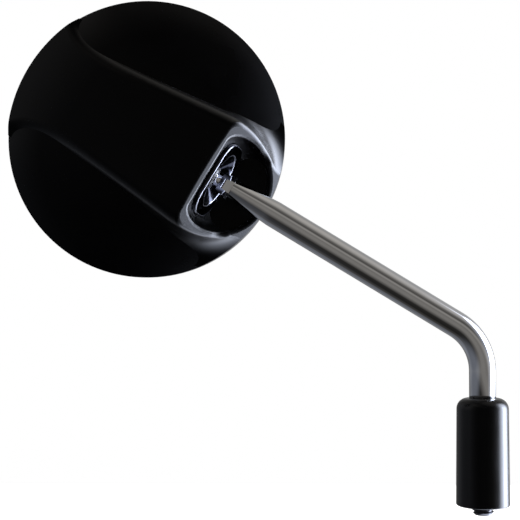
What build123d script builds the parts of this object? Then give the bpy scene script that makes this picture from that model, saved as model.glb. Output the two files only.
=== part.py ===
from build123d import *
import math
import os

# A round motorcycle mirror on a bent stem, in millimetres. The origin is on the stem's threaded end, in the
# plane where its lock nut seats. +Z is up the stem, -X is towards the head, -Y is out of the head's back.

# Stem
rod_diameter = 10.0
rod_tip_diameter = 7.2
rod_taper_length = 18.0
rod_slope = 31.3
rod_run = 120.7
corner_height = 48.7
bend_radius = 20.3
thread_diameter = 8.0
thread_pitch_diameter = 7.19
thread_length = 28.0
thread_reach = 16.5
thread_chamfer = 1.0

# Lock nut
lock_nut_width = 13.0
lock_nut_height = 6.5

# Boot
boot_length = 40.0
boot_top_diameter = 19.3
boot_bottom_diameter = 20.0
boot_shoulder = 4.0
boot_cavity_diameter = 16.0
boot_cavity_height = 27.0
boot_edge = 0.6
boot_rod_clearance = 0.05
thread_show = 3.5

# Ball stud, measured along the stud from the ball centre
ball_diameter = 9.0
neck_diameter = 4.6
hex_start = 5.6
hex_length = 5.3
hex_width = 8.0
hex_collar = 0.8
hex_draft = 14.0
shank_diameter = 5.0
shank_length = 10.0

# Ball seats, with their edges along the stud from the ball centre
seat_thickness = 0.7
seat_clearance = 0.15
front_seat_edge = 3.5
front_seat_base = 0.5
rear_seat_edge = -3.0

# Head, with heights above the plane of its widest circle
head_diameter = 108.0
dome_height = 16.0
rim_depth = 6.4
head_wall = 2.6
ball_setback = 1.6
ball_height = 14.5

# Ridge on the back, round the pocket at one end and running out to the rim at the other
ridge_wall = 6.0
ridge_setback = 2.4
ridge_draft = 10.0
ridge_convergence = 6.8
ridge_flare_height = 12.0
ridge_flare_radius = 14.1
ridge_flare_sweep = 66.0
ridge_runout = 10.0
ridge_crown_radius = 260.0
ridge_edge = 6.0

# Pocket for the ball joint
pocket_radius = 21.0
pocket_floor = 3.5
pocket_corner = 6.5
pocket_wall = 3.5
mouth_drop = 2.2
mouth_step = 2.5
mouth_edge = 2.0
mouth_lip = 1.5

# Socket plate and clamp, measured along the socket's axis from the ball centre
socket_tilt = 14.0
socket_face = 4.0
plate_length = 30.0
plate_width = 20.0
plate_corner = 8.0
plate_thickness = 2.6
plate_sunk = 1.0
plate_edge = 0.5
plate_clearance = 0.2
dish_length = 21.8
dish_width = 16.4
dish_bottom = 1.65
dish_edge = 0.4
boss_diameter = 18.8
boss_end = 0.7
stud_diameter = 4.0
stud_spacing = 24.8
stud_length = 9.2
stud_clearance = 0.2
clamp_length = 31.0
clamp_width = 17.0
clamp_corner = 6.0
clamp_thickness = 1.5
washer_diameter = 7.0
washer_thickness = 1.0
clamp_nut_width = 7.0
clamp_nut_height = 3.2

# Glass and gasket
rim_wall = 2.0
glass_thickness = 2.2
glass_curve = 1200.0
glass_clearance = 0.1
gasket_wall = 1.0
gasket_lip = 1.3
gasket_grip = 1.8
gasket_clearance = 0.1
rim_bead = 0.5
rim_bead_width = 0.8
ledge_width = 2.5

# Radii, faces and frames that follow from the sizes above
ball_radius = ball_diameter / 2
seat_inner = ball_radius + seat_clearance
seat_outer = seat_inner + seat_thickness
cup_radius = seat_outer + seat_clearance
head_radius = head_diameter / 2
dome_radius = (head_radius**2 + dome_height**2) / (2 * dome_height)
dome_centre = Vector(0, 0, dome_height - dome_radius)
pocket_end = head_radius - head_wall
pocket_axis = pocket_end - pocket_radius
ridge_axis = pocket_axis - ridge_setback
ridge_radius = pocket_radius + ridge_wall
ridge_touch = head_radius - ridge_runout
ball_offset = pocket_axis - ball_setback
plate_back = socket_face - plate_sunk
plate_face = plate_back + plate_thickness
wall_back = socket_face - pocket_wall
clamp_back = wall_back - clamp_thickness
gasket_radius = head_radius - rim_wall - gasket_clearance
glass_radius = gasket_radius - gasket_wall - glass_clearance
grip_radius = glass_radius - gasket_grip
gasket_front = rim_bead_width - rim_depth
glass_edge = gasket_front + gasket_lip + glass_clearance
gasket_back = glass_edge + glass_thickness + glass_clearance + gasket_lip
room = 4 * head_radius

slope = math.radians(rod_slope)
tilt = math.radians(socket_tilt)
up_rod = Vector(-math.cos(slope), 0, math.sin(slope))
out_of_back = Vector(0, -1, 0)
ball_centre = Vector(0, 0, corner_height) + up_rod * rod_run
head_centre = ball_centre + up_rod * ball_offset - out_of_back * ball_height

# Stud frame: Z down the rod from the ball. Head frame: X along the ridge to the pocket, Z out of the back.
# Socket frame: Z along the socket's axis, X up the pocket's inner wall.
stud_frame = Plane(ball_centre, x_dir=out_of_back, z_dir=-up_rod).location
head_frame = Plane(head_centre, x_dir=-up_rod, z_dir=out_of_back).location
socket_axis = Vector(math.cos(tilt), 0, math.sin(tilt))
socket_up = Vector(-math.sin(tilt), 0, math.cos(tilt))
socket_in_head = Plane((ball_offset, 0, ball_height), x_dir=socket_up, z_dir=socket_axis).location
socket_frame = head_frame * socket_in_head

# The ridge's crown is a large sphere that touches the dome. The mouth starts on the inner wall, below it, and
# comes down to a step above the pocket's floor at the pocket's far end.
crown_touch = Vector(-ridge_touch, 0, dome_centre.Z + math.sqrt(dome_radius**2 - ridge_touch**2))
crown_centre = crown_touch - (crown_touch - dome_centre) * (ridge_crown_radius / dome_radius)
crown_height = crown_centre.Z + math.sqrt(ridge_crown_radius**2 - (ball_offset - crown_centre.X) ** 2)
mouth_height = crown_height - mouth_drop
wall_top = ball_offset + socket_face / math.cos(tilt) - (mouth_height - ball_height) * math.tan(tilt)
mouth_turn = math.atan2(mouth_height - pocket_floor - mouth_step, pocket_end - wall_top)
mouth_normal = Vector(math.sin(mouth_turn), 0, math.cos(mouth_turn))

base = (Align.CENTER, Align.CENTER, Align.MIN)


def disc(radius, low, high):
    return Pos(0, 0, low) * Cylinder(radius, high - low, align=base)


def ring(radius, bore, low, high):
    return disc(radius, low, high) - disc(bore, low, high)


def turned(edges):
    """Turn a closed outline of radius and height round the Z axis."""
    return revolve(Plane.XZ * make_face(edges), Axis.Z)


def rounded_plate(width, length, corner, low, high):
    return Pos(0, 0, low) * extrude(RectangleRounded(width, length, corner), high - low)


def hexagon(width):
    return RegularPolygon(width / 2, 6, major_radius=False, rotation=30)


def hexagon_nut(width, height, bore):
    """A nut with both ends turned to a cone of 30 degrees that starts at the flats."""
    flat = width / 2
    corner = flat / math.cos(math.radians(30))
    drop = (corner - flat) * math.tan(math.radians(30))
    outline = Polyline((0, 0), (flat, 0), (corner, drop), (corner, height - drop), (flat, height), (0, height))
    bar = extrude(hexagon(width), height) & turned([outline, Line((0, height), (0, 0))])
    return bar - disc(bore, 0, height)


def shell_zone(low, high):
    """The slice of the ball seats' round shell between two heights."""
    return (Sphere(seat_outer) - Sphere(seat_inner)) & disc(cup_radius, low, high)


def at_clamp_studs(shape):
    return [Pos(0, side * stud_spacing / 2, 0) * shape for side in (-1, 1)]


# Stem pieces

def stem_rod():
    """The swaged tip, the sloping run, the bend, the upright run and the turned end, in one piece.

    The thread is drawn at its full diameter where it is free, and at its pitch diameter inside the nut.
    """
    tip = ball_centre - up_rod * (hex_start + hex_length)
    taper_end = tip - up_rod * rod_taper_length
    shoulder = thread_length - thread_reach
    path = FilletPolyline(taper_end, (0, 0, corner_height), (0, 0, shoulder), radius=bend_radius)
    rod = sweep(Plane(taper_end, z_dir=-up_rod) * Circle(rod_diameter / 2), path)
    taper = Cone(rod_tip_diameter / 2, rod_diameter / 2, rod_taper_length, align=base)
    taper -= disc(shank_diameter / 2, 0, shank_length)
    thread = disc(thread_diameter / 2, -thread_reach, shoulder)
    thread = chamfer(thread.edges().sort_by(Axis.Z)[0], thread_chamfer)
    thread -= ring(thread_diameter / 2, thread_pitch_diameter / 2, 0, lock_nut_height)
    return rod + Plane(tip, z_dir=-up_rod).location * taper + thread


def ball_stud():
    """A ball on a neck, a hexagon that draws in towards the ball, and a shank inside the rod."""
    hex_end = hex_start + hex_length
    flats = Pos(0, 0, hex_end - hex_collar) * hexagon(hex_width)
    collar = extrude(flats, hex_collar)
    taper = extrude(flats, hex_collar - hex_length, taper=hex_draft)
    neck = disc(neck_diameter / 2, 0, hex_start)
    shank = disc(shank_diameter / 2, hex_end, hex_end + shank_length)
    return stud_frame * (Sphere(ball_radius) + neck + taper + collar + shank)


def lock_nut():
    return hexagon_nut(lock_nut_width, lock_nut_height, thread_pitch_diameter / 2)


def rubber_boot():
    """A tapered sleeve with a round shoulder, a grip hole for the rod and a cavity over the nut."""
    sleeve = Cone(boot_bottom_diameter / 2, boot_top_diameter / 2, boot_length, align=base)
    sleeve = fillet(sleeve.edges().sort_by(Axis.Z)[-1], boot_shoulder)
    sleeve = fillet(sleeve.edges().sort_by(Axis.Z)[0], boot_edge)
    sleeve -= disc(boot_cavity_diameter / 2, 0, boot_cavity_height)
    sleeve -= disc(rod_diameter / 2 + boot_rod_clearance, 0, boot_length)
    return Pos(0, 0, thread_show - thread_reach) * sleeve


# Ball seats

def front_ball_seat():
    return stud_frame * shell_zone(front_seat_base, front_seat_edge)


def rear_ball_seat():
    return stud_frame * shell_zone(-seat_outer, rear_seat_edge)


# Head form, drawn in by an inset for the hollow inside

def dome(inset):
    sphere = Pos(dome_centre) * Sphere(dome_radius - inset)
    return disc(head_radius - inset, -rim_depth, dome_height) & sphere


def ridge_section(inset):
    """Half the ridge's section: a drafted side that flares out as it comes down to the dome."""
    draft = math.radians(ridge_draft)
    low, top = -crown_height, 2 * crown_height
    foot = ridge_radius - inset
    flare_start = (foot - ridge_flare_height * math.tan(draft), ridge_flare_height)
    side = Line((foot - top * math.tan(draft), top), flare_start)
    flare = JernArc(flare_start, (math.sin(draft), -math.cos(draft)), ridge_flare_radius, ridge_flare_sweep)
    middle = Polyline(flare @ 1, ((flare @ 1).X, low), (0, low), (0, top), side @ 0)
    return Plane.XZ * make_face([side, flare, middle])


def ridge(inset):
    """The section turned round the pocket, then run on along both converging sides as far as the rim."""
    section = ridge_section(inset)
    half_turn = 90 + ridge_convergence
    lean = math.radians(ridge_convergence)
    body = revolve(Rot(0, 0, -half_turn) * section, Axis.Z, 2 * half_turn)
    for side in (-1, 1):
        way = (-math.cos(lean), -side * math.sin(lean), 0)
        body += extrude(Rot(0, 0, side * half_turn) * section, ridge_axis + head_radius, dir=way)
    body = Pos(ridge_axis, 0, 0) * body & Pos(crown_centre) * Sphere(ridge_crown_radius - inset)
    mouth_half = Box(room, room, room, align=(Align.MIN, Align.CENTER, Align.CENTER))
    return body & disc(head_radius - inset, -rim_depth, room) + mouth_half


def above_mouth(inset):
    """All that lies above the pocket's sloping mouth."""
    start = Vector(wall_top, 0, mouth_height)
    mouth = Plane(start - mouth_normal * inset, z_dir=mouth_normal)
    return mouth.location * Box(room, room, room, align=base)


def mouth_face(body):
    return body.faces().filter_by(Axis((0, 0, 0), mouth_normal))[0]


def rounded_ridge():
    """The ridge with its crown's long edges rounded, then cut off at the mouth and rounded there too."""
    body = ridge(0)
    crown = body.faces().filter_by(GeomType.SPHERE)[0]
    long_edges = crown.edges().filter_by(lambda edge: edge.center().X > -ridge_touch)
    body = fillet(long_edges, ridge_edge) - above_mouth(0)
    mouth_edges = mouth_face(body).edges().filter_by(lambda edge: edge.center().Z > 0)
    body = fillet(mouth_edges, mouth_edge)
    return body & disc(head_radius, -rim_depth, room)


def pocket(radius, floor, back, corner):
    """A round pocket cut flat by its inner wall, which stands square to the socket's axis."""
    body = Pos(pocket_axis, 0, 0) * disc(radius, floor, 2 * crown_height)
    body &= socket_in_head * Pos(0, 0, back) * Box(room, room, room, align=base)
    return fillet(body.edges().filter_by(GeomType.ELLIPSE), corner)


def joint_openings():
    """The holes through the pocket's inner wall and the shallow recess that takes the socket plate."""
    recess = rounded_plate(
        plate_width + 2 * plate_clearance,
        plate_length + 2 * plate_clearance,
        plate_corner + plate_clearance,
        plate_back,
        plate_face + pocket_corner,
    )
    hole = disc(boss_diameter / 2 + plate_clearance, clamp_back, plate_back)
    stud_hole = disc(stud_diameter / 2 + stud_clearance, clamp_back, plate_back)
    return [socket_in_head * shape for shape in [recess, hole, *at_clamp_studs(stud_hole)]]


def housing():
    form = dome(0) + rounded_ridge()
    hollow = dome(head_wall) + ridge(head_wall) - above_mouth(head_wall)
    ledge_radius = gasket_radius - ledge_width
    hollow &= disc(ledge_radius, -rim_depth, room)
    hollow -= pocket(pocket_radius + head_wall, pocket_floor - head_wall, wall_back, pocket_corner)
    recess = disc(gasket_radius + gasket_clearance, gasket_front, gasket_back + gasket_clearance)
    opening = disc(gasket_radius + gasket_clearance - rim_bead, -rim_depth, gasket_front)
    body = form - hollow - recess - opening
    body -= pocket(pocket_radius, pocket_floor, socket_face, pocket_corner)
    body = fillet(mouth_face(body).inner_wires()[0].edges(), mouth_lip)
    for shape in joint_openings():
        body -= shape
    return head_frame * body


# Ball joint pieces on the head

def socket_plate():
    """A plate with an oval dish round the ball's cup, and two studs on its back."""
    plate = rounded_plate(plate_width, plate_length, plate_corner, plate_back, plate_face)
    plate = fillet(plate.faces().sort_by(Axis.Z)[-1].edges(), plate_edge)
    plate += disc(boss_diameter / 2, boss_end, plate_back)
    plate -= dish()
    plate = fillet(plate.faces().sort_by(Axis.Z)[-1].inner_wires()[0].edges(), dish_edge)
    plate -= Sphere(cup_radius)
    for stud in at_clamp_studs(disc(stud_diameter / 2, plate_back - stud_length, plate_back)):
        plate += stud
    return socket_frame * plate


def dish():
    """A funnel from the ball's round cup to an oval that lets the stud swing further along the plate."""
    cup = Pos(0, 0, dish_bottom) * Circle(math.sqrt(cup_radius**2 - dish_bottom**2))
    oval = Pos(0, 0, plate_face) * Ellipse(dish_width / 2, dish_length / 2)
    return loft([cup, oval])


def clamp_plate():
    """A pressed plate behind the wall, with a round cup that holds the ball from the back."""
    plate = rounded_plate(clamp_width, clamp_length, clamp_corner, clamp_back, wall_back)
    cup = Sphere(cup_radius + clamp_thickness) & disc(room, -room, wall_back)
    plate = plate + cup - Sphere(cup_radius)
    for hole in at_clamp_studs(disc(stud_diameter / 2 + stud_clearance, clamp_back, wall_back)):
        plate -= hole
    return socket_frame * plate


def spring_washers():
    low = clamp_back - washer_thickness
    washer = ring(washer_diameter / 2, stud_diameter / 2 + stud_clearance, low, clamp_back)
    return socket_frame * Compound(at_clamp_studs(washer))


def clamp_nuts():
    low = clamp_back - washer_thickness - clamp_nut_height
    nut = hexagon_nut(clamp_nut_width, clamp_nut_height, stud_diameter / 2)
    return socket_frame * Compound(at_clamp_studs(Pos(0, 0, low) * nut))


# Glass and its ring

def glass_arc(depth):
    """One face of the bent glass, from its centre to its edge, at a depth behind the front face."""
    sag = glass_radius**2 / (2 * glass_curve)
    middle = (glass_radius / 2, glass_edge + depth - sag * 3 / 4)
    return ThreePointArc((0, glass_edge + depth - sag), middle, (glass_radius, glass_edge + depth))


def mirror_glass():
    front = glass_arc(0)
    back = glass_arc(glass_thickness)
    sides = [Line(front @ 0, back @ 0), Line(front @ 1, back @ 1)]
    return head_frame * turned([front, back, *sides])


def glass_gasket():
    """A rubber channel that grips the glass's edge."""
    channel_front = glass_edge - glass_clearance - (glass_radius**2 - grip_radius**2) / (2 * glass_curve)
    channel_back = glass_edge + glass_thickness + glass_clearance
    body = ring(gasket_radius, grip_radius, gasket_front, gasket_back)
    return head_frame * (body - disc(glass_radius + glass_clearance, channel_front, channel_back))


pieces = [
    stem_rod,
    ball_stud,
    lock_nut,
    rubber_boot,
    front_ball_seat,
    rear_ball_seat,
    housing,
    socket_plate,
    clamp_plate,
    spring_washers,
    clamp_nuts,
    mirror_glass,
    glass_gasket,
]

os.makedirs("parts", exist_ok=True)
for piece in pieces:
    export_step(piece(), f"parts/{piece.__name__}.step")
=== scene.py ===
import math

import bmesh
import bpy
from mathutils import Euler, Matrix, Vector


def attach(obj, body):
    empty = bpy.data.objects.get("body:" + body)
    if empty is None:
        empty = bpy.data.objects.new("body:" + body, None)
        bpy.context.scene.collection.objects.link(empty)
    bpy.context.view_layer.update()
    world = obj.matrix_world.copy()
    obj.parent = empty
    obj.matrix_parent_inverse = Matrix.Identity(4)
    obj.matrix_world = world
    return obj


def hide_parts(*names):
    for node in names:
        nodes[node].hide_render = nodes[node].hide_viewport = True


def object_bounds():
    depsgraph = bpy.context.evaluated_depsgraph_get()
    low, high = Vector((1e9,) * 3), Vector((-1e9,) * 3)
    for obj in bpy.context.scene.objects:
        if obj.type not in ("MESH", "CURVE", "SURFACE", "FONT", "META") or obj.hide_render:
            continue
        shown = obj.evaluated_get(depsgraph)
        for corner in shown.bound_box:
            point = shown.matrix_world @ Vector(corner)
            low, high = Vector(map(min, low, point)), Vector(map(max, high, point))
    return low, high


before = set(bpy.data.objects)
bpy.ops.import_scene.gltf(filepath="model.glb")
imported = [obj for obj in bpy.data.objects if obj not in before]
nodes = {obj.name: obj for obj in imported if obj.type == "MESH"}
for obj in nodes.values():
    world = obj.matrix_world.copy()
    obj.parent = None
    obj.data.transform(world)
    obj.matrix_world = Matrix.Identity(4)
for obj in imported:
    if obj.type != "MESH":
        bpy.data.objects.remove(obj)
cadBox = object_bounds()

scene = bpy.context.scene
mm = 0.001
print("frame loaded:", len(nodes), "CAD nodes")


# sRGB hex to the linear colour that shaders take
def linear(hexColour):
    parts = [int(hexColour[i:i + 2], 16) / 255 for i in (1, 3, 5)]
    return [p / 12.92 if p <= 0.04045 else ((p + 0.055) / 1.055) ** 2.4 for p in parts] + [1.0]


# one node with its settings; an input takes a value, a socket, or a node, whose first live output then feeds it
def addNode(tree, kind, inputs=(), **settings):
    node = tree.nodes.new(kind)
    for name, value in settings.items():
        setattr(node, name, value)
    for name, value in dict(inputs).items():
        if isinstance(value, bpy.types.Node):
            value = next(socket for socket in value.outputs if socket.enabled)
        if isinstance(value, bpy.types.NodeSocket):
            tree.links.new(value, node.inputs[name])
        else:
            node.inputs[name].default_value = value
    return node


# an empty material: its tree, and the place on the piece that its patterns read
def newMaterial(name):
    material = bpy.data.materials.new(name)
    material.use_nodes = True
    tree = material.node_tree
    tree.nodes.clear()
    place = addNode(tree, "ShaderNodeTexCoord").outputs["Object"]
    return material, tree, place


# most of a noise texture's values lie in this span
noiseSpan = {"From Min": 0.3, "From Max": 0.7}


# an uneven skin: soft spots of one width, running between two colours and between two roughnesses
def addMottle(tree, place, width, colours, roughnesses, detail=3.0):
    spots = addNode(tree, "ShaderNodeTexNoise", {"Vector": place, "Scale": 1 / width, "Detail": detail})
    colour = addNode(tree, "ShaderNodeMixRGB", {
        "Fac": spots, "Color1": linear(colours[0]), "Color2": linear(colours[1]),
    })
    roughness = addNode(tree, "ShaderNodeMapRange", {
        "Value": spots, **noiseSpan, "To Min": roughnesses[0], "To Max": roughnesses[1],
    })
    return colour, roughness


# moulded black ABS, satin from the tool: deep black where it faces the eye, a soft grey sheen where it turns
# away; only there has it the plastic's own IOR of 1.5, because the head is blacker than that in front
def makeMouldedAbs():
    material, tree, place = newMaterial("mouldedBlackAbs")
    flowWidth, grainWidth, grainDepth = 14 * mm, 0.5 * mm, 0.05 * mm
    frontIor, turnedIor = 1.135, 1.5
    colour, roughness = addMottle(tree, place, flowWidth, ("#020202", "#040405"), (0.26, 0.32), detail=2.0)
    # the true grain is finer; it is drawn at 0.5 mm so that it shows
    grain = addNode(tree, "ShaderNodeTexNoise", {"Vector": place, "Scale": 1 / grainWidth, "Detail": 3.0})
    bump = addNode(tree, "ShaderNodeBump", {"Height": grain, "Strength": 0.06, "Distance": grainDepth})
    turned = addNode(tree, "ShaderNodeLayerWeight", {"Blend": 0.5}).outputs["Facing"]
    ior = addNode(tree, "ShaderNodeMapRange", {
        "Value": turned, "From Min": 0.18, "From Max": 0.5, "To Min": frontIor, "To Max": turnedIor,
    })
    surface = addNode(tree, "ShaderNodeBsdfPrincipled", {
        "Base Color": colour, "Roughness": roughness, "IOR": ior, "Normal": bump,
    })
    addNode(tree, "ShaderNodeOutputMaterial", {"Surface": surface})
    return material


# bright chrome plate on steel: mirror bands with a trace of polishing haze
def makeChrome():
    material, tree, place = newMaterial("brightChromePlate")
    hazeWidth = 6 * mm
    colour, roughness = addMottle(tree, place, hazeWidth, ("#C9CACB", "#D3D4D6"), (0.03, 0.06))
    surface = addNode(tree, "ShaderNodeBsdfPrincipled", {
        "Base Color": colour, "Roughness": roughness, "Metallic": 1.0,
    })
    addNode(tree, "ShaderNodeOutputMaterial", {"Surface": surface})
    return material


# where the socket plate lies, and its outlines, in millimetres; angles in degrees
socketPlate = {
    "ballCentre": (-103.133, 0.0, 111.406),
    "rodSlope": 31.3,
    "tilt": 14.0,
    "faceHeight": 5.6,
    "width": 20.0,
    "length": 30.0,
    "corner": 8.0,
    "dishWidth": 16.4,
    "dishLength": 21.8,
    "lineWidth": 0.6,
    "lineInset": 0.3,
}


# black-passivated pressed steel: a dark mirror, with pale lines along its outline and the dish's ring that are
# painted highlights of those edges
def makeDarkPlate():
    material, tree, place = newMaterial("blackPassivatedSteel")
    slope, tilt = math.radians(socketPlate["rodSlope"]), math.radians(socketPlate["tilt"])
    alongRod, outOfBack = Vector((math.cos(slope), 0, -math.sin(slope))), Vector((0, -1, 0))
    axis = alongRod * math.cos(tilt) + outOfBack * math.sin(tilt)
    up = outOfBack * math.cos(tilt) - alongRod * math.sin(tilt)
    centre = (Vector(socketPlate["ballCentre"]) + axis * socketPlate["faceHeight"]) * mm
    turn = Matrix((up, axis.cross(up), axis)).transposed().to_euler()
    # millimetres across and along the plate from its middle, and out of its face
    flat = addNode(tree, "ShaderNodeMapping", {
        "Vector": place, "Location": centre, "Rotation": turn, "Scale": (mm, mm, mm),
    }, vector_type="TEXTURE")

    # distance outside the plate's rounded outline, at any height
    corner, anyHeight = socketPlate["corner"], 1000
    reach = (socketPlate["width"] / 2 - corner, socketPlate["length"] / 2 - corner, anyHeight)
    folded = addNode(tree, "ShaderNodeVectorMath", {0: flat}, operation="ABSOLUTE")
    past = addNode(tree, "ShaderNodeVectorMath", {0: folded, 1: reach}, operation="SUBTRACT")
    outer = addNode(tree, "ShaderNodeVectorMath", {0: past, 1: (0, 0, 0)}, operation="MAXIMUM")
    gap = addNode(tree, "ShaderNodeVectorMath", {0: outer}, operation="LENGTH")
    lineRadius = corner - socketPlate["lineInset"]
    fromOutline = addNode(tree, "ShaderNodeMath", {0: gap, 1: lineRadius}, operation="SUBTRACT")

    # distance from the dish's oval
    oval = (2 / socketPlate["dishWidth"], 2 / socketPlate["dishLength"], 0)
    scaled = addNode(tree, "ShaderNodeVectorMath", {0: flat, 1: oval}, operation="MULTIPLY")
    size = addNode(tree, "ShaderNodeVectorMath", {0: scaled}, operation="LENGTH")
    fromRing = addNode(tree, "ShaderNodeMath", {0: size, 1: 1.0}, operation="SUBTRACT")
    fromOval = addNode(tree, "ShaderNodeMath", {0: fromRing, 1: socketPlate["dishWidth"] / 2}, operation="MULTIPLY")

    outlineGap = addNode(tree, "ShaderNodeMath", {0: fromOutline}, operation="ABSOLUTE")
    ovalGap = addNode(tree, "ShaderNodeMath", {0: fromOval}, operation="ABSOLUTE")
    nearest = addNode(tree, "ShaderNodeMath", {0: outlineGap, 1: ovalGap}, operation="MINIMUM")
    # pale, less metallic lines near the plate's outline and the dish's ring: painted highlights of their edges
    paintedEdgeHighlight = addNode(tree, "ShaderNodeMapRange", {
        "Value": nearest, "From Min": socketPlate["lineWidth"] / 4, "From Max": socketPlate["lineWidth"] / 2,
        "To Min": 1.0, "To Max": 0.0,
    })
    hazeWidth = 4 * mm
    dark, roughness = addMottle(tree, place, hazeWidth, ("#232429", "#2E2F36"), (0.1, 0.18))
    # the painted edge highlight's pale grey
    colour = addNode(tree, "ShaderNodeMixRGB", {"Fac": paintedEdgeHighlight, "Color1": dark, "Color2": linear("#74757E")})
    metallic = addNode(tree, "ShaderNodeMapRange", {"Value": paintedEdgeHighlight, "To Min": 1.0, "To Max": 0.4})
    surface = addNode(tree, "ShaderNodeBsdfPrincipled", {
        "Base Color": colour, "Roughness": roughness, "Metallic": metallic,
    })
    addNode(tree, "ShaderNodeOutputMaterial", {"Surface": surface})
    return material


# zinc-plated steel: pale grey with a soft spangle
def makeZinc():
    material, tree, place = newMaterial("zincPlatedSteel")
    spangleWidth = 1.5 * mm
    colour, roughness = addMottle(tree, place, spangleWidth, ("#B4B2AA", "#CFCDC4"), (0.28, 0.42))
    surface = addNode(tree, "ShaderNodeBsdfPrincipled", {
        "Base Color": colour, "Roughness": roughness, "Metallic": 1.0,
    })
    addNode(tree, "ShaderNodeOutputMaterial", {"Surface": surface})
    return material


# dark grey steel on the rolled thread, darker than the chrome rod, with an uneven oily sheen
def makeThreadSteel():
    material, tree, place = newMaterial("darkThreadSteel")
    oilWidth = 1.2 * mm
    colour, roughness = addMottle(tree, place, oilWidth, ("#3A3A3D", "#4C4C50"), (0.22, 0.36))
    surface = addNode(tree, "ShaderNodeBsdfPrincipled", {
        "Base Color": colour, "Roughness": roughness, "Metallic": 1.0,
    })
    addNode(tree, "ShaderNodeOutputMaterial", {"Surface": surface})
    return material


# moulded black rubber: satin, with a fine skin that spreads its highlight, and as black in front as the head,
# so its IOR is low there and near a rubber's own where it turns away
def makeRubber():
    material, tree, place = newMaterial("mouldedBlackRubber")
    bloomWidth, skinWidth, skinDepth = 9 * mm, 0.6 * mm, 0.04 * mm
    frontIor, turnedIor = 1.12, 1.34
    colour, roughness = addMottle(tree, place, bloomWidth, ("#040405", "#080809"), (0.2, 0.27), detail=2.0)
    # the true skin is finer; it is drawn at 0.6 mm so that it shows
    skin = addNode(tree, "ShaderNodeTexNoise", {"Vector": place, "Scale": 1 / skinWidth, "Detail": 3.0})
    bump = addNode(tree, "ShaderNodeBump", {"Height": skin, "Strength": 0.03, "Distance": skinDepth})
    turned = addNode(tree, "ShaderNodeLayerWeight", {"Blend": 0.5}).outputs["Facing"]
    ior = addNode(tree, "ShaderNodeMapRange", {
        "Value": turned, "From Min": 0.02, "From Max": 0.14, "To Min": frontIor, "To Max": turnedIor,
    })
    surface = addNode(tree, "ShaderNodeBsdfPrincipled", {
        "Base Color": colour, "Roughness": roughness, "IOR": ior, "Normal": bump,
    })
    addNode(tree, "ShaderNodeOutputMaterial", {"Surface": surface})
    return material


# moulded black acetal: a dull, slightly waxy black
def makeAcetal():
    material, tree, place = newMaterial("mouldedBlackAcetal")
    waxWidth, acetalIor = 3 * mm, 1.48
    colour, roughness = addMottle(tree, place, waxWidth, ("#161617", "#202022"), (0.35, 0.5))
    surface = addNode(tree, "ShaderNodeBsdfPrincipled", {
        "Base Color": colour, "Roughness": roughness, "IOR": acetalIor,
    })
    addNode(tree, "ShaderNodeOutputMaterial", {"Surface": surface})
    return material


# back-silvered float glass: a clean, slightly cool mirror
def makeSilveredGlass():
    material, tree, place = newMaterial("silveredGlass")
    filmWidth = 25 * mm
    colour, roughness = addMottle(tree, place, filmWidth, ("#E2E8E8", "#E8EDED"), (0.015, 0.03))
    surface = addNode(tree, "ShaderNodeBsdfPrincipled", {
        "Base Color": colour, "Roughness": roughness, "Metallic": 1.0,
    })
    addNode(tree, "ShaderNodeOutputMaterial", {"Surface": surface})
    return material


blackAbs = makeMouldedAbs()
chrome = makeChrome()
darkPlate = makeDarkPlate()
zinc = makeZinc()
threadSteel = makeThreadSteel()
rubber = makeRubber()
acetal = makeAcetal()
mirror = makeSilveredGlass()
finishOf = {
    "housing": blackAbs,
    "ball_stud": chrome,
    "socket_plate": darkPlate,
    "rubber_boot": rubber,
    "glass_gasket": rubber,
    "mirror_glass": mirror,
    "lock_nut": zinc,
    "clamp_plate": zinc,
    "spring_washers": zinc,
    "clamp_nuts": zinc,
    "front_ball_seat": acetal,
    "rear_ball_seat": acetal,
}
for name, material in finishOf.items():
    nodes[name].data.materials.clear()
    nodes[name].data.materials.append(material)
print("materials assigned:", len(finishOf))


# M8 coarse thread on the stem's end, in millimetres; the rest of the rod is the CAD node's own form
thread = {
    "majorDiameter": 8.0,
    "minorDiameter": 6.65,
    "pitch": 1.25,
    "length": 28.0,
    "endChamfer": 1.0,
    # shares of a pitch, from the crest's middle, where its flat ends and the root's flat begins
    "crestEdge": 1 / 16,
    "rootEdge": 3 / 8,
    "sides": 64,
    "stepsPerPitch": 14,
    # how far the rod runs on past the shoulder, so that the two meshes meet with no gap
    "overlap": 0.2,
    "sharpAngle": 32.0,
}


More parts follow.
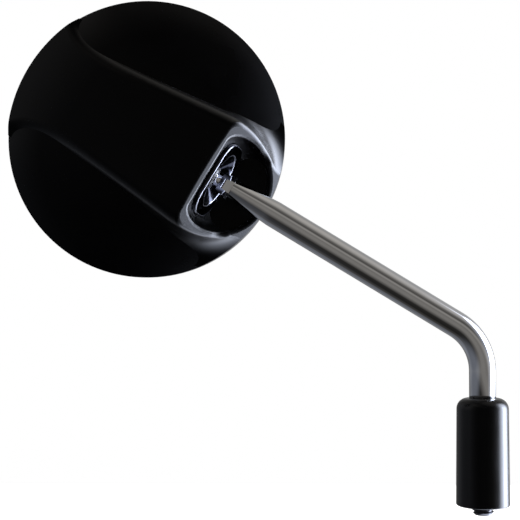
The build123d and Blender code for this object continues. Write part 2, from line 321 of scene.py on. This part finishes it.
# a cylinder whose radius follows the thread's form: flat crests and roots, 60 degree flanks, a chamfered tip
def makeThreadTree():
    tree = bpy.data.node_groups.new("threadedEnd", "GeometryNodeTree")
    for name in ("Major Radius", "Minor Radius", "Pitch", "Length", "Chamfer", "Low End"):
        tree.interface.new_socket(name=name, in_out="INPUT", socket_type="NodeSocketFloat")
    tree.interface.new_socket(name="Steps", in_out="INPUT", socket_type="NodeSocketInt")
    tree.interface.new_socket(name="Finish", in_out="INPUT", socket_type="NodeSocketMaterial")
    tree.interface.new_socket(name="Geometry", in_out="OUTPUT", socket_type="NodeSocketGeometry")
    size = addNode(tree, "NodeGroupInput").outputs
    blank = addNode(tree, "GeometryNodeMeshCylinder", {
        "Vertices": thread["sides"], "Side Segments": size["Steps"],
        "Radius": size["Major Radius"], "Depth": size["Length"],
    }, fill_type="NGON")

    # turns round the axis and up it, and so the share of a pitch from the nearest crest
    spot = addNode(tree, "GeometryNodeInputPosition")
    place = addNode(tree, "ShaderNodeSeparateXYZ", {"Vector": spot}).outputs
    half = addNode(tree, "ShaderNodeMath", {0: size["Length"], 1: 2.0}, operation="DIVIDE")
    height = addNode(tree, "ShaderNodeMath", {0: place["Z"], 1: half}, operation="ADD")
    angle = addNode(tree, "ShaderNodeMath", {0: place["Y"], 1: place["X"]}, operation="ARCTAN2")
    aroundAxis = addNode(tree, "ShaderNodeMath", {0: angle, 1: 2 * math.pi}, operation="DIVIDE")
    rise = addNode(tree, "ShaderNodeMath", {0: height, 1: size["Pitch"]}, operation="DIVIDE")
    lag = addNode(tree, "ShaderNodeMath", {0: rise, 1: aroundAxis}, operation="SUBTRACT")
    fromCrest = addNode(tree, "ShaderNodeMath", {0: lag, 1: 0.5}, operation="PINGPONG")

    # the smaller of the thread's own radius and the tip's cone
    form = addNode(tree, "ShaderNodeMapRange", {
        "Value": fromCrest, "From Min": thread["crestEdge"], "From Max": thread["rootEdge"],
        "To Min": size["Major Radius"], "To Max": size["Minor Radius"],
    })
    below = addNode(tree, "ShaderNodeMath", {0: size["Chamfer"], 1: height}, operation="SUBTRACT")
    cut = addNode(tree, "ShaderNodeMath", {0: below, 1: 0.0}, operation="MAXIMUM")
    cone = addNode(tree, "ShaderNodeMath", {0: size["Major Radius"], 1: cut}, operation="SUBTRACT")
    radius = addNode(tree, "ShaderNodeMath", {0: form, 1: cone}, operation="MINIMUM")
    share = addNode(tree, "ShaderNodeMath", {0: radius, 1: size["Major Radius"]}, operation="DIVIDE")
    across = addNode(tree, "ShaderNodeMath", {0: place["X"], 1: share}, operation="MULTIPLY")
    along = addNode(tree, "ShaderNodeMath", {0: place["Y"], 1: share}, operation="MULTIPLY")
    level = addNode(tree, "ShaderNodeMath", {0: height, 1: size["Low End"]}, operation="ADD")
    point = addNode(tree, "ShaderNodeCombineXYZ", {"X": across, "Y": along, "Z": level})
    cutThread = addNode(tree, "GeometryNodeSetPosition", {"Geometry": blank, "Position": point})
    plain = addNode(tree, "GeometryNodeRealizeInstances", {"Geometry": cutThread})
    dressed = addNode(tree, "GeometryNodeSetMaterial", {"Geometry": plain, "Material": size["Finish"]})
    addNode(tree, "NodeGroupOutput", {"Geometry": dressed})
    return tree


# runs a tree on an empty object and gives its result as a plain mesh
def meshFromTree(tree, sizes):
    holder = bpy.data.objects.new(tree.name, bpy.data.meshes.new(tree.name))
    scene.collection.objects.link(holder)
    modifier = holder.modifiers.new(tree.name, "NODES")
    modifier.node_group = tree
    for item in tree.interface.items_tree:
        if item.in_out == "INPUT":
            modifier[item.identifier] = sizes[item.name]
    graph = bpy.context.evaluated_depsgraph_get()
    mesh = bpy.data.meshes.new_from_object(holder.evaluated_get(graph))
    bpy.data.objects.remove(holder)
    return mesh


# the CAD rod down to its shoulder, with a real thread below it
def makeStem():
    lowEnd = min(v.co.z for v in nodes["stem_rod"].data.vertices)
    shoulder = lowEnd + thread["length"] * mm
    threadMesh = meshFromTree(makeThreadTree(), {
        "Major Radius": thread["majorDiameter"] * mm / 2,
        "Minor Radius": thread["minorDiameter"] * mm / 2,
        "Pitch": thread["pitch"] * mm,
        "Length": (thread["length"] - thread["overlap"] / 2) * mm,
        "Chamfer": thread["endChamfer"] * mm,
        "Low End": lowEnd,
        "Steps": math.ceil(thread["length"] / thread["pitch"] * thread["stepsPerPitch"]),
        "Finish": threadSteel,
    })

    # the rod's loose triangles are joined, then cut off and closed just below the shoulder
    body = bmesh.new()
    body.from_mesh(nodes["stem_rod"].data)
    mergeGap = 1e-6
    bmesh.ops.remove_doubles(body, verts=body.verts, dist=mergeGap)
    everything = body.verts[:] + body.edges[:] + body.faces[:]
    bmesh.ops.bisect_plane(body, geom=everything, plane_co=(0, 0, shoulder - thread["overlap"] * mm),
                           plane_no=(0, 0, 1), clear_inner=True)
    bmesh.ops.holes_fill(body, edges=[e for e in body.edges if e.is_boundary])
    for face in body.faces:
        face.material_index = 0
    rodFaces = len(body.faces)
    body.from_mesh(threadMesh)
    body.faces.ensure_lookup_table()
    for face in body.faces[rodFaces:]:
        face.material_index = 1

    mesh = bpy.data.meshes.new("threadedStem")
    body.to_mesh(mesh)
    body.free()
    mesh.materials.append(chrome)
    mesh.materials.append(threadSteel)
    mesh.shade_smooth()
    mesh.set_sharp_from_angle(angle=math.radians(thread["sharpAngle"]))
    stem = bpy.data.objects.new("threadedStem", mesh)
    scene.collection.objects.link(stem)
    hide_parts("stem_rod")
    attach(stem, "stem")
    print("threaded stem made:", len(mesh.polygons), "faces")


makeStem()

# stage sizes in metres, the lens and its sensor in millimetres; angles in radians
stage = {
    "cameraPlace": (-0.0753, -0.4586, 0.0717),
    "cameraYaw": -0.0175,
    "cameraPitch": 0.0157,
    "cameraRoll": 0.0016,
    "lens": 84.33,
    "sensorWidth": 36.0,
    "nearest": 0.01,
    "floorDrop": 1.0,
    "floorReach": 6.0,
    "floorColour": "#F2F2F2",
}


def makeCamera():
    data = bpy.data.cameras.new("photoCamera")
    data.lens = stage["lens"]
    data.sensor_width = stage["sensorWidth"]
    data.clip_start = stage["nearest"]
    camera = bpy.data.objects.new("photoCamera", data)
    scene.collection.objects.link(camera)
    camera.location = stage["cameraPlace"]
    camera.rotation_euler = Euler(
        (math.pi / 2 + stage["cameraPitch"], stage["cameraRoll"], -stage["cameraYaw"]), "XYZ")
    scene.camera = camera


# white for the camera, a plain pale diffuse floor for the rest; it lies low, to be clear of views from below
def makeFloor():
    reach = stage["floorReach"]
    low = cadBox[0].z - stage["floorDrop"]
    corners = [(x * reach, y * reach, low) for x, y in ((-1, -1), (1, -1), (1, 1), (-1, 1))]
    mesh = bpy.data.meshes.new("studioFloor")
    mesh.from_pydata(corners, [], [(0, 1, 2, 3)])
    floor = bpy.data.objects.new("studioFloor", mesh)
    scene.collection.objects.link(floor)
    material, tree = newMaterial("paleStudioFloor")[:2]
    path = addNode(tree, "ShaderNodeLightPath")
    surface = addNode(tree, "ShaderNodeBsdfPrincipled", {
        "Base Color": linear(stage["floorColour"]), "Roughness": 0.8,
        "Emission Color": (1, 1, 1, 1), "Emission Strength": path.outputs["Is Camera Ray"],
    })
    addNode(tree, "ShaderNodeOutputMaterial", {"Surface": surface})
    mesh.materials.append(material)
    floor.visible_glossy = False


# the room: white to the camera, and for the rest a studio that is dim in front, dark below the lens, and runs from
# dim at left to bright at right behind; levels are shares of white
studio = {
    "diffuseLevel": 0.5,
    "frontTint": "#FFF9F2",
    "sideTint": "#E4ECFF",
    # the back's levels at left and at right, the span along X between them, and the span along Y where it comes in
    "backLevels": (0.18, 0.65),
    "backSpan": (-0.5, 0.6),
    "backFade": (0.1, 1.1),
    # the way across the sloping rod, and the levels from its lower side to its upper side
    "acrossRod": (0.52, 0.0, 0.854),
    "frontLevels": [
        (0.0, 0.06), (0.04, 0.02), (0.18, 0.03), (0.28, 0.14), (0.39, 0.25), (0.5, 0.26),
        (0.61, 0.22), (0.72, 0.37), (0.82, 0.085), (0.91, 0.18), (1.0, 0.55),
    ],
    # soft panels: a direction, how much their height is stretched, the cosines of their edges, and a level
    "panels": [
        ((0.99, 0.11, -0.08), 2.4, 0.84, 0.975, 19.0),
        ((0.5, 0.2, -0.84), 1.0, 0.7, 0.96, 5.0),
        ((0.98, 0.1, 0.0), 1.0, 0.45, 0.95, 0.5),
        ((-1.0, 0.0, 0.0), 0.7, 0.3, 0.85, 0.2),
        ((-0.45, 0.5, -0.74), 1.0, 0.83, 0.98, 0.16),
    ],
}


def makeWorld():
    world = bpy.data.worlds.new("studioRoom")
    scene.world = world
    world.use_nodes = True
    tree = world.node_tree
    tree.nodes.clear()
    direction = addNode(tree, "ShaderNodeTexCoord").outputs["Generated"]
    axes = addNode(tree, "ShaderNodeSeparateXYZ", {"Vector": direction}).outputs

    across = addNode(tree, "ShaderNodeVectorMath", {0: direction, 1: studio["acrossRod"]}, operation="DOT_PRODUCT")
    share = addNode(tree, "ShaderNodeMapRange", {"Value": across, "From Min": -1.0, "From Max": 1.0})
    front = addNode(tree, "ShaderNodeValToRGB", {"Fac": share})
    ramp = front.color_ramp
    while len(ramp.elements) < len(studio["frontLevels"]):
        ramp.elements.new(0.5)
    tint = linear(studio["frontTint"])
    for element, (place, level) in zip(ramp.elements, studio["frontLevels"]):
        element.position = place
        element.color = [level * c for c in tint[:3]] + [1]

    fadeStart, fadeEnd = studio["backFade"]
    behind = addNode(tree, "ShaderNodeMapRange", {
        "Value": axes["Y"], "From Min": fadeStart, "From Max": fadeEnd,
    }, interpolation_type="SMOOTHSTEP")
    leftEnd, rightEnd = studio["backSpan"]
    leftLevel, rightLevel = studio["backLevels"]
    back = addNode(tree, "ShaderNodeMapRange", {
        "Value": axes["X"], "From Min": leftEnd, "From Max": rightEnd, "To Min": leftLevel, "To Max": rightLevel,
    }, interpolation_type="SMOOTHSTEP")
    total = addNode(tree, "ShaderNodeMixRGB", {"Fac": behind, "Color1": front, "Color2": back})

    side = linear(studio["sideTint"])
    for way, stretch, outer, inner, level in studio["panels"]:
        flat = addNode(tree, "ShaderNodeVectorMath", {0: direction, 1: (1, 1, 1 / stretch)}, operation="MULTIPLY")
        unit = addNode(tree, "ShaderNodeVectorMath", {0: flat}, operation="NORMALIZE")
        middle = Vector(way).normalized()
        facing = addNode(tree, "ShaderNodeVectorMath", {0: unit, 1: middle}, operation="DOT_PRODUCT")
        lobe = addNode(tree, "ShaderNodeMapRange", {
            "Value": facing, "From Min": outer, "From Max": inner,
        }, interpolation_type="SMOOTHSTEP")
        total = addNode(tree, "ShaderNodeMixRGB", {
            "Fac": lobe, "Color1": total, "Color2": [level * c for c in side[:3]] + [1],
        }, blend_type="ADD")

    # glossy rays see the studio, camera and transmission rays plain white, and the rest one even level
    path = addNode(tree, "ShaderNodeLightPath").outputs
    soft = addNode(tree, "ShaderNodeMixRGB", {
        "Fac": path["Is Glossy Ray"], "Color1": [studio["diffuseLevel"]] * 3 + [1], "Color2": total,
    })
    seen = addNode(tree, "ShaderNodeMath", {
        0: path["Is Camera Ray"], 1: path["Is Transmission Ray"],
    }, operation="MAXIMUM")
    final = addNode(tree, "ShaderNodeMixRGB", {"Fac": seen, "Color1": soft, "Color2": (1, 1, 1, 1)})
    background = addNode(tree, "ShaderNodeBackground", {"Color": final})
    addNode(tree, "ShaderNodeOutputWorld", {"Surface": background})


# the one lamp, a soft strip at right, in metres and watts
rightStrip = {
    "place": (0.68, 0.08, 0.03),
    "aim": (0.0, 0.0, 0.03),
    "width": 0.2,
    "height": 0.42,
    "power": 4.5,
    "tint": "#DCE8FF",
}


def makeLamp():
    data = bpy.data.lights.new("rightStrip", "AREA")
    data.shape = "RECTANGLE"
    data.size = rightStrip["width"]
    data.size_y = rightStrip["height"]
    data.energy = rightStrip["power"]
    data.color = linear(rightStrip["tint"])[:3]
    lamp = bpy.data.objects.new("rightStrip", data)
    scene.collection.objects.link(lamp)
    lamp.location = rightStrip["place"]
    way = Vector(rightStrip["aim"]) - Vector(rightStrip["place"])
    lamp.rotation_euler = way.to_track_quat("-Z", "Y").to_euler()


makeCamera()
makeFloor()
makeWorld()
makeLamp()
scene.view_settings.view_transform = "Standard"
print("stage ready")
